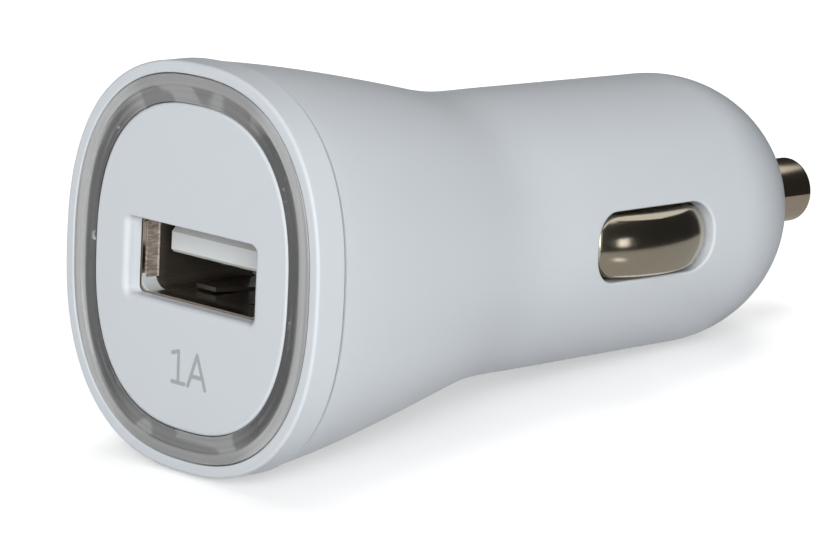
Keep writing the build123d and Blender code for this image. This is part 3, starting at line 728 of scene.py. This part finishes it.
strips, webs = [], []
roll_turn = np.linspace(0, pi, ROLL_STEPS)
bend = np.linspace(0, pi / 2, WEB_STEPS)
for side in (1, -1):
    front, rear = (SHELL_MOUTH_Y + depth for depth in STRIP_DEPTHS)
    flat_end = rear - 2 * STRIP_ROLL
    reach = np.concatenate(((0, STRIP_THICKNESS), STRIP_THICKNESS + STRIP_ROLL * np.sin(roll_turn), (0,)))
    along = np.concatenate(((front, front), flat_end + STRIP_ROLL * (1 - np.cos(roll_turn)), (rear,)))
    section = np.stack((side * (SHELL_HALF[0] - reach), along, 0 * along), -1)[::side]
    heights = np.linspace(*STRIP_HEIGHTS, STRIP_ROWS)[:, None] * np.array((0, 0, 1))
    strips.append(swept(section, heights))
    x = np.concatenate((SHELL_HALF[0] - WEB_RADIUS * (1 - np.cos(bend)), (SHELL_HALF[0],)))
    z = np.concatenate((WEB_RADIUS * (1 - np.sin(bend)) - SHELL_HALF[1], (-SHELL_HALF[1],)))
    section = np.stack((side * x, 0 * x, z), -1)[::side]
    depths = (SHELL_MOUTH_Y + np.linspace(*WEB_DEPTHS, WEB_ROWS))[:, None] * np.array((0, 1, 0))
    webs.append(swept(section, depths))

reeded_nickel, place, shader = new_finish("reeded_nickel")
ticks = place.noise(TICK_LUMPS, 3.0, (1, 0.4, 2.2))
wear = place.noise(WEAR_LUMPS, 2.0, (1, 2.0, 0.25))
bump = place.node("Bump", {}, {"Height": ticks, "Strength": 0.9, "Distance": TICK_HEIGHT})
# The colour is lighter where the ticks stand up, a painted highlight, and varies with random wear.
place.feed(
    shader,
    {
        "Base Color": (wear * 0.5 + ticks.rise(0.45, 0.62) * 0.5).blend(REED_DULL, REED_BRIGHT),
        "Metallic": 0.35,
        "Roughness": ticks * 0.2 + 0.3,
        "Normal": bump,
    },
)
web_white = moulded_plastic("web_white", WEB_WHITE, WEB_WHITE_DEEP, 0.35)
guide_strips = new_piece("guide_strips", *joined(strips))
guide_strips.data.materials.append(reeded_nickel)
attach(guide_strips, "plug")
corner_webs = new_piece("corner_webs", *joined(webs))
corner_webs.data.materials.append(web_white)
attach(corner_webs, "plug")

# Front bezel. A collar of the same white plastic, with a softly rounded lip. Its spigot is pressed
# into the head's mouth and leaves the fine seam that runs round the head.
FRONT_Y = -24.6
BEZEL_BACK = 2.46
BEZEL_EDGE = 0.22
SPIGOT_END = 5.65
SPIGOT_INSET = 1.48
SPIGOT_WALL = 0.9
LIP_WIDTH = 0.85
LIP_EDGE = 0.1
RING_SEAT = 1.8
SOFT_CORNER = 0.06
HOLD = 0.07
HOLD_SHARE = 0.3
PLATE_INSET = (3.05, 2.85)
PLATE_SQUARENESS = 2.5
RING_BEAD_INSET = 1.71
PIPE_INNER_INSET = 3.74
INSET_STOPS = (0, RING_BEAD_INSET, PLATE_INSET[0], PIPE_INNER_INSET)
TOP_STOPS = (0, RING_BEAD_INSET, PLATE_INSET[1], PIPE_INNER_INSET)
SQUARENESS_STOPS = (HEAD_SQUARENESS, HEAD_SQUARENESS, PLATE_SQUARENESS, HEAD_SQUARENESS)
FACE_TURN = 2 * pi * np.arange(AROUND) / AROUND


def rounded(corners, radii, steps=6):
    """Closed outline through the corners, each one turned into an arc of its radius.

    An arc is the rational curve from tangent point to tangent point whose middle weight is the
    sine of half the corner's angle. A point on the straight beside each arc keeps the flats flat."""
    corners = np.asarray(corners, float)
    before = np.roll(corners, 1, 0) - corners
    after = np.roll(corners, -1, 0) - corners
    length = np.linalg.norm(after, axis=1)
    before /= np.linalg.norm(before, axis=1)[:, None]
    after /= length[:, None]
    half = np.arccos((before * after).sum(1)) / 2
    reach = np.asarray(radii, float) / np.tan(half)
    spare = length - reach - np.roll(reach, -1)
    hold = np.minimum(HOLD, HOLD_SHARE * spare)
    start = corners + before * reach[:, None]
    end = corners + after * reach[:, None]
    share = np.linspace(0, 1, steps)[None, :, None]
    weight = 2 * share * (1 - share) * np.sin(half)[:, None, None]
    first, last = (1 - share) ** 2, share**2
    arcs = first * start[:, None] + weight * corners[:, None] + last * end[:, None]
    arcs /= first + weight + last
    lead = start + before * np.roll(hold, 1)[:, None]
    trail = end + after * hold[:, None]
    return np.concatenate((lead[:, None], arcs, trail[:, None]), 1).reshape(-1, 2)


def face_rows(profile):
    """Oval rows for a profile of insets and depths from the front, drawn in from the head's rim.

    Above and below the plate the rows close up a little, because the plate is taller than the rim."""
    inset, depth = profile.T
    half_width = HEAD_HALF[0] - inset
    half_height = HEAD_HALF[1] - np.interp(inset, INSET_STOPS, TOP_STOPS)
    squareness = np.interp(inset, INSET_STOPS, SQUARENESS_STOPS)
    return half_width, half_height, squareness, FRONT_Y + depth


def face_collar(name, profile):
    """Closed profile of insets and depths, carried round the head's oval rim."""
    points = carried(*face_rows(profile), FACE_TURN)
    numbers = np.arange(points[..., 0].size).reshape(points.shape[:2])
    return new_piece(name, points.reshape(-1, 3), [skin(closed(numbers))])


spigot_inner = SPIGOT_INSET + SPIGOT_WALL
bezel_profile = rounded(
    (
        (0, 0),
        (0, BEZEL_BACK),
        (SPIGOT_INSET, BEZEL_BACK),
        (SPIGOT_INSET, SPIGOT_END),
        (spigot_inner, SPIGOT_END),
        (spigot_inner, RING_SEAT),
        (LIP_WIDTH, RING_SEAT),
        (LIP_WIDTH, 0),
    ),
    (BEZEL_EDGE, *[SOFT_CORNER] * 6, LIP_EDGE),
)
white_plastic = moulded_plastic("white_plastic", PLASTIC_WHITE, PLASTIC_WHITE_DEEP, SATIN_ROUGHNESS)
bezel = face_collar("bezel_collar", bezel_profile)
bezel.data.materials.append(white_plastic)
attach(bezel, "plug")
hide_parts("front_bezel")

# Clear ring. A polished clear moulding that carries the lamps' light to the face: a low bead
# beside the bezel's lip, a band just below it, and a light pipe behind the plate. Its colour is
# painted with what shows through it: the bead painted light for its lit white seat, the band painted
# shade for the dark head, with pale painted reflections and a few painted sparkles above and below.
RING_OUTER_INSET = 0.91
RING_BACK = 1.77
RING_GROOVE = 0.15
RING_LEDGE = 1.33
PIPE_OUTER_INSET = 2.44
PIPE_END = 2.8
BEAD_EDGE = 0.12
LEDGE_CORNER = 0.02
GROOVE_CORNER = 0.03
BEAD_SIDE = (0.78, 0.79, 0.79, 1)
BEAD_END = (0.50, 0.505, 0.50, 1)
BEAD_RIM_SHADE = (0.58, 0.59, 0.60, 1)
PAINTED_SPARKLE = (0.95, 0.96, 0.97, 1)
BAND_SIDE_SHADE = (0.085, 0.085, 0.09, 1)
BAND_END = (0.30, 0.30, 0.30, 1)
BAND_PAINTED_PATCH = (0.54, 0.545, 0.55, 1)
BAND_EDGE = (1.09, 1.12)
RIM_EDGE = (1.175, 1.195)
SIDE_SPAN = (0.45, 0.85)
LINE_PITCH = 0.048
PAINTED_SPARKLE_EDGE = 1.06
FLOW_LUMPS = 220.0
PATCH_LUMPS = 330.0
PAINTED_SPARKLE_LUMPS = 700.0
ring_profile = rounded(
    (
        (RING_OUTER_INSET, 0),
        (RING_OUTER_INSET, RING_BACK),
        (PIPE_OUTER_INSET, RING_BACK),
        (PIPE_OUTER_INSET, PIPE_END),
        (PIPE_INNER_INSET, PIPE_END),
        (PIPE_INNER_INSET, RING_LEDGE),
        (PLATE_INSET[0], RING_LEDGE),
        (PLATE_INSET[0], RING_GROOVE),
        (RING_BEAD_INSET, RING_GROOVE),
        (RING_BEAD_INSET, 0),
    ),
    (BEAD_EDGE, *[SOFT_CORNER] * 5, LEDGE_CORNER, GROOVE_CORNER, GROOVE_CORNER, SOFT_CORNER),
)
ring_clear, place, shader = new_finish("clear_plastic")
plate_half = [(HEAD_HALF[axis] - PLATE_INSET[axis]) * MM for axis in (0, 1)]
sideways = abs(place.axis("X")) * (1 / plate_half[0])
upwards = abs(place.axis("Z")) * (1 / plate_half[1])
spread = (sideways**PLATE_SQUARENESS + upwards**PLATE_SQUARENESS) ** (1 / PLATE_SQUARENESS)
# Painted light and shade: the band at the sides is painted dark, the band at the ends has pale painted
# reflections, ripples across the band are painted refraction lines, spots by the plate are painted
# sparkles, and the bead is painted light with a painted shade line at its rim.
flow = place.noise(FLOW_LUMPS)
refraction_lines = spread.ripple(LINE_PITCH)
side_share = sideways.rise(*SIDE_SPAN) + flow * 0.5 + refraction_lines * 0.3 - 0.4
painted_patches = place.noise(PATCH_LUMPS, 0.0).rise(0.46, 0.54).blend(BAND_END, BAND_PAINTED_PATCH)
painted_sparkles = place.noise(PAINTED_SPARKLE_LUMPS).rise(0.66, 0.72) * spread.rise(PAINTED_SPARKLE_EDGE, 1.0)
band = painted_sparkles.blend(side_share.blend(painted_patches, BAND_SIDE_SHADE), PAINTED_SPARKLE)
bead = spread.rise(*RIM_EDGE).blend(side_share.blend(BEAD_END, BEAD_SIDE), BEAD_RIM_SHADE)
place.feed(
    shader,
    {
        "Base Color": spread.rise(*BAND_EDGE).blend(band, bead),
        "Roughness": flow * 0.06 + 0.05,
        "Transmission Weight": 0.45,
        "IOR": 1.49,
    },
)
ring = face_collar("clear_ring", ring_profile)
ring.data.materials.append(ring_clear)
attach(ring, "plug")
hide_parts("light_ring")

# Face plate. A flat white moulding that snaps into the clear ring, with a softened rim and a
# window for the port whose side walls lean outwards.
PLATE_FIT = 0.04
PLATE_FRONT = 0.1
PLATE_BACK = 1.3
PLATE_EDGE = 0.2
BACK_CHAMFER = 0.03
WINDOW_FRONT = (6.52, 2.71)
WINDOW_BACK = (6.35, 2.70)
WINDOW_CORNER = 0.5
WINDOW_EDGE = 0.45
WINDOW_TOP_SHARE = 0.3
LONG_COUNT = 104
SHORT_COUNT = 46
RIM_ROWS = 6
FLAT_ROWS = 7
plate_turn = np.concatenate(
    [
        (-0.75 + quarter / 2) * pi + np.arange(count) / count * pi / 2
        for quarter, count in enumerate((LONG_COUNT, SHORT_COUNT, LONG_COUNT, SHORT_COUNT))
    ]
)
plate_rim = PLATE_INSET[0] + PLATE_FIT
rim_bend = np.linspace(0, pi / 2, RIM_ROWS)
rim_profile = np.stack(
    (
        plate_rim + PLATE_EDGE * (1 - np.sin(rim_bend)),
        PLATE_FRONT + PLATE_EDGE * (1 - np.cos(rim_bend)),
    ),
    -1,
)
back_profile = np.array(
    (
        (plate_rim, PLATE_BACK - FLAT_HOLD),
        (plate_rim, PLATE_BACK - BACK_CHAMFER),
        (plate_rim + BACK_CHAMFER, PLATE_BACK),
    )
)
plate_rows = carried(*face_rows(np.vstack((rim_profile, back_profile))), plate_turn)


def window_row(half, depth, grown):
    """One row round the port's window: a rounded rectangle, let out by a little, at its depth.

    It is let out less at the top, where the edge is crisper."""
    (x, z), (out_x, out_z) = rounded_outline(*half, WINDOW_CORNER, LONG_COUNT, SHORT_COUNT)
    upright = np.where(out_z > 0, WINDOW_TOP_SHARE, 1.0)
    return np.stack((x + grown * out_x, 0 * x + FRONT_Y + depth, z + grown * upright * out_z), -1)


front_window = np.array(WINDOW_FRONT)
back_window = np.array(WINDOW_BACK)
wall_start = PLATE_FRONT + WINDOW_EDGE
window_rows = [
    window_row(back_window, PLATE_BACK, BACK_CHAMFER),
    window_row(back_window, PLATE_BACK - BACK_CHAMFER, 0),
    window_row(back_window, PLATE_BACK - FLAT_HOLD, 0),
    window_row((front_window + back_window) / 2, (wall_start + PLATE_BACK) / 2, 0),
    window_row(front_window, wall_start + SOFT_CORNER, 0),
]
for angle in (0, *ROUND_STEPS):
    depth = PLATE_FRONT + WINDOW_EDGE * (1 - sin(angle))
    window_rows.append(window_row(front_window, depth, WINDOW_EDGE * (1 - cos(angle))))
window_rows.append(window_row(front_window, PLATE_FRONT, WINDOW_EDGE + HOLD))
face_edge = carried(*face_rows(np.array(((plate_rim + PLATE_EDGE + HOLD, PLATE_FRONT),))), plate_turn)[0]
reach_out = np.linspace(0, 1, FLAT_ROWS)[1:, None, None]
face_flat = window_rows[-1] + reach_out * (face_edge - window_rows[-1])
plate_points = np.concatenate((plate_rows, np.array(window_rows), face_flat))
plate_numbers = np.arange(plate_points[..., 0].size).reshape(plate_points.shape[:2])
plate = new_piece("port_plate", plate_points.reshape(-1, 3), [skin(closed(plate_numbers))])
plate.data.materials.append(white_plastic)
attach(plate, "plug")
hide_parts("face_plate")

# Rating mark. The plain output current, 1 A, pad-printed in grey ink under the port: thin strokes
# of ink that stand only a few hundredths of a millimetre above the plate.
INK_WIDTH = 0.28
INK_HEIGHT = 0.016
INK_STEP = 0.002
INK_SINK = 0.02
INK_LIGHT = (0.44, 0.475, 0.49, 1)
INK_DEEP = (0.40, 0.435, 0.45, 1)
STROKES = np.array(
    (
        ((-1.33, -6.03), (-0.69, -5.84)),
        ((-0.69, -5.84), (-0.66, -8.05)),
        ((-1.30, -8.05), (-0.02, -8.05)),
        ((1.22, -5.80), (0.36, -8.08)),
        ((1.22, -5.80), (2.12, -8.08)),
        ((0.64, -7.34), (1.85, -7.34)),
    )
)
STROKE_STEPS = 12


def ink_strokes(strokes):
    """Each stroke is a flat bar with round ends: half circles about its ends, one above the other.

    Each stroke lies a hair higher than the one before, so that no two faces share a plane."""
    start, end = strokes[:, 0], strokes[:, 1]
    heading = np.arctan2(*(end - start).T[::-1])[:, None]
    swing = np.linspace(0, pi, STROKE_STEPS)[None, :]
    bend = np.concatenate((heading - pi / 2 + swing, heading + pi / 2 + swing), 1)
    ends = np.concatenate([np.repeat(place[:, None], STROKE_STEPS, 1) for place in (end, start)], 1)
    flat = ends + INK_WIDTH / 2 * np.stack((np.cos(bend), np.sin(bend)), -1)
    face_y = FRONT_Y + PLATE_FRONT
    layer = INK_STEP * np.arange(len(strokes))
    points = np.empty((len(strokes), 2, flat.shape[1], 3))
    points[..., 0] = flat[:, None, :, 0]
    points[:, 0, :, 1] = (face_y - INK_HEIGHT - layer)[:, None]
    points[:, 1, :, 1] = (face_y + INK_SINK + layer)[:, None]
    points[..., 2] = flat[:, None, :, 1]
    numbers = np.arange(points[..., 0].size).reshape(points.shape[:3])
    around = np.concatenate((numbers, numbers[:, :, :1]), 2)
    walls = np.stack((around[:, 0, :-1], around[:, 1, :-1], around[:, 1, 1:], around[:, 0, 1:]), -1)
    return points.reshape(-1, 3), [walls, numbers[:, 0], numbers[:, 1, ::-1]]


ink_grey = moulded_plastic("mark_ink", INK_LIGHT, INK_DEEP, 0.5)
mark = new_piece("rating_mark", *ink_strokes(STROKES))
mark.data.materials.append(ink_grey)
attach(mark, "plug")

# Floor. A wide sheet of white paper that touches the plug under its bezel and under its nose, so
# it leans a little. The camera, metal and clear pieces see it as a white ground with the shadow.
FLOOR_FOOT = (-22.07, -14.25)
FLOOR_REST = (22.93, -10.24)
FLOOR_GAP = 0.01
FLOOR_SPAN = 2000.0
FLOOR_LIFT = 0.42
FLOOR_FAR_LIFT = 0.5
FLOOR_FAR = (0.05, 0.2)
PAPER_LUMPS = 6.0
PAPER_WHITE = (0.90, 0.90, 0.90, 1)
PAPER_WHITE_DEEP = (0.88, 0.88, 0.88, 1)
PAPER_BOUNCE = (0.42, 0.42, 0.42, 1)
BLACK = (0, 0, 0, 1)
WHITE = (1, 1, 1, 1)
floor_slope = (FLOOR_REST[1] - FLOOR_FOOT[1]) / (FLOOR_REST[0] - FLOOR_FOOT[0])


def floor_height(y):
    """Height of the paper at y: a straight line through the two places that touch the plug."""
    return FLOOR_FOOT[1] - FLOOR_GAP + floor_slope * (y - FLOOR_FOOT[0])


def stage_sheet(name, points):
    """Thin sheet from a grid of points in millimetres."""
    numbers = np.arange(points[..., 0].size).reshape(points.shape[:2])
    sheet = new_piece(name, points.reshape(-1, 3), [skin(numbers)])
    return sheet


def background_rays(wire):
    """1 for rays from the camera, from shiny surfaces and through clear ones, and 0 for the rest."""
    path = wire.node("LightPath", {}, {}, "Is Camera Ray")
    seen = path
    for ray in ("Is Glossy Ray", "Is Transmission Ray"):
        seen = path.reckon("MAXIMUM", seen, Wire(path.tree, path.socket.node.outputs[ray]))
    return seen


span = np.linspace(-FLOOR_SPAN, FLOOR_SPAN, 3)
floor_x, floor_y = np.meshgrid(span, span)
floor = stage_sheet("floor", np.stack((floor_x, floor_y, floor_height(floor_y)), -1)[:, ::-1])
floor_paper, place, shader = new_finish("floor_paper")
seen = background_rays(place)
paper = place.noise(PAPER_LUMPS).blend(PAPER_WHITE, PAPER_WHITE_DEEP)
away = place.node("VectorMath", {"operation": "LENGTH"}, {0: place}, "Value").rise(*FLOOR_FAR)
glow = seen * (away * FLOOR_FAR_LIFT + FLOOR_LIFT)
place.feed(
    shader,
    {
        "Base Color": seen.blend(PAPER_BOUNCE, paper),
        "Roughness": 0.9,
        "Emission Color": glow.blend(BLACK, WHITE),
        "Emission Strength": 1.0,
    },
)
floor.data.materials.append(floor_paper)

# Studio. A white room with a large soft lamp beside the camera, one behind that lights the plug
# alone, and one above that lights the paper alone. Cards that only shiny surfaces see give the
# nickel its dark and grey bands and its glints.
AMBIENT = 0.215
LAMP_DISTANCE = 0.5
CARD_CENTRE_Y = 15.0
CARD_TURN = np.radians(np.linspace(-42, 102, 48))
CARD_RADII = (11.5, 52.0)
CARD_TOPS = (40.0, 26.0)
CARD_LIFT = 0.2
CARD_ROWS = 8
GLINT_X = 46.5
GLINT_Y = (8.6, 14.4)
GLINT_Z = (-3.4, 6.0)
GLINT_SHEET_X = (25.5, 30.5)
GLINT_SHEET_Y = (8.0, 11.5)
GLINT_LIFT = 0.4
DARK_LEVEL = 0.03
GREY_LEVEL = 0.42
GLINT_LEVEL = 2.0
GLINT_SHEET_LEVEL = 1.6
world = bpy.data.worlds.new("studio")
bpy.context.scene.world = world
world.use_nodes = True
sky = Wire(world.node_tree)
ambient = world.node_tree.nodes["Background"]
sky.feed(ambient, {"Color": WHITE, "Strength": AMBIENT})
white = sky.node("Background", {}, {"Color": WHITE, "Strength": 1.0})
both = sky.node("MixShader", {}, {0: background_rays(sky), 1: Wire(sky.tree, ambient.outputs[0]), 2: white})
sky.feed(world.node_tree.nodes["World Output"], {"Surface": both})


def metal_card(name, points, brightness):
    """Card that only glossy rays see, with a plain even brightness. It isn't sampled as a lamp."""
    card = stage_sheet(name, points)
    paint, place, shader = new_finish(name)
    glow = place.node("Emission", {}, {"Color": WHITE, "Strength": brightness})
    place.feed(paint.node_tree.nodes["Material Output"], {"Surface": glow})
    paint.cycles.emission_sampling = "NONE"
    card.data.materials.append(paint)
    card.visible_camera = False
    card.visible_diffuse = False
    card.visible_transmission = False
    card.visible_shadow = False


def card_place(radius, side):
    """Places at a radius round the side contact's middle, on one side of the plug."""
    return side * radius * np.cos(CARD_TURN), CARD_CENTRE_Y + radius * np.sin(CARD_TURN)


for side, hand in ((1, "right"), (-1, "left")):
    x, y = card_place(CARD_RADII[1], side)
    height = np.linspace(0, 1, 2)[:, None]
    foot = floor_height(y)
    top = np.interp(CARD_TURN, (0, pi / 2), CARD_TOPS)
    wall = np.stack((x + 0 * height, y + 0 * height, foot + (top - foot) * height), -1)
    metal_card("dark_card_" + hand, wall, DARK_LEVEL)
    x, y = card_place(np.linspace(*CARD_RADII, CARD_ROWS)[:, None], side)
    metal_card("grey_card_" + hand, np.stack((x, y, floor_height(y) + CARD_LIFT), -1), GREY_LEVEL)
    z, y = np.meshgrid(GLINT_Z, GLINT_Y)
    metal_card("glint_card_" + hand, np.stack((0 * z + side * GLINT_X, y, z), -1), GLINT_LEVEL)
    x, y = np.meshgrid(GLINT_SHEET_X, GLINT_SHEET_Y)
    sheet = np.stack((side * x, y, floor_height(y) + GLINT_LIFT), -1)
    metal_card("glint_sheet_" + hand, sheet, GLINT_SHEET_LEVEL)


def soft_lamp(name, azimuth, elevation, size, power):
    """Square soft lamp that looks at the plug. Its azimuth, in degrees, is 0 in front of the port."""
    lamp = bpy.data.objects.new(name, bpy.data.lights.new(name, "AREA"))
    lamp.data.size = size
    lamp.data.energy = power
    azimuth, elevation = radians(azimuth), radians(elevation)
    level = LAMP_DISTANCE * cos(elevation)
    lamp.location = (level * sin(azimuth), -level * cos(azimuth), LAMP_DISTANCE * sin(elevation))
    lamp.rotation_euler = (-lamp.location).to_track_quat("-Z", "Y").to_euler()
    bpy.context.scene.collection.objects.link(lamp)
    return lamp


soft_lamp("key", azimuth=47, elevation=14, size=0.32, power=2.1)
floor_only = bpy.data.collections.new("floor_only")
floor_only.objects.link(floor)
floor_lamp = soft_lamp("floor_lamp", azimuth=222, elevation=75, size=0.36, power=1.3)
floor_lamp.light_linking.receiver_collection = floor_only
but_floor = bpy.data.collections.new("but_floor")
but_floor.objects.link(floor)
but_floor.collection_objects[0].light_linking.link_state = "EXCLUDE"
fill = soft_lamp("fill", azimuth=236, elevation=5, size=0.24, power=1.6)
fill.light_linking.receiver_collection = but_floor
fill.visible_glossy = False

# Camera. It stands where the photograph was taken from, fitted to the plug's own outlines: a long
# lens, a little above the head and rolled by a few degrees.
AZIMUTH = radians(44.929)
ELEVATION = radians(10.972)
ROLL = radians(2.718)
DISTANCE = 0.300
FOCAL_PX = 4138.528
OFFSET_PX = (31.198, 34.740)
FRAME_PX = 830
SENSOR_MM = 36.0
NEAREST = 0.01
AIM = Vector((0, 0.0004, 0))
back = Vector((sin(AZIMUTH) * cos(ELEVATION), -cos(AZIMUTH) * cos(ELEVATION), sin(ELEVATION)))
level = Vector((cos(AZIMUTH), sin(AZIMUTH), 0))
upright = back.cross(level)
right = cos(ROLL) * level + sin(ROLL) * upright
up = cos(ROLL) * upright - sin(ROLL) * level
stand = AIM + DISTANCE * (back - right * (OFFSET_PX[0] / FOCAL_PX) - up * (OFFSET_PX[1] / FOCAL_PX))
camera = bpy.data.objects.new("camera", bpy.data.cameras.new("camera"))
camera.data.sensor_width = SENSOR_MM
camera.data.lens = FOCAL_PX / FRAME_PX * SENSOR_MM
camera.data.clip_start = NEAREST
pose = Matrix((right, up, back)).transposed().to_4x4()
pose.translation = stand
camera.matrix_world = pose
bpy.context.scene.collection.objects.link(camera)
bpy.context.scene.camera = camera
bpy.context.scene.view_settings.view_transform = "Standard"
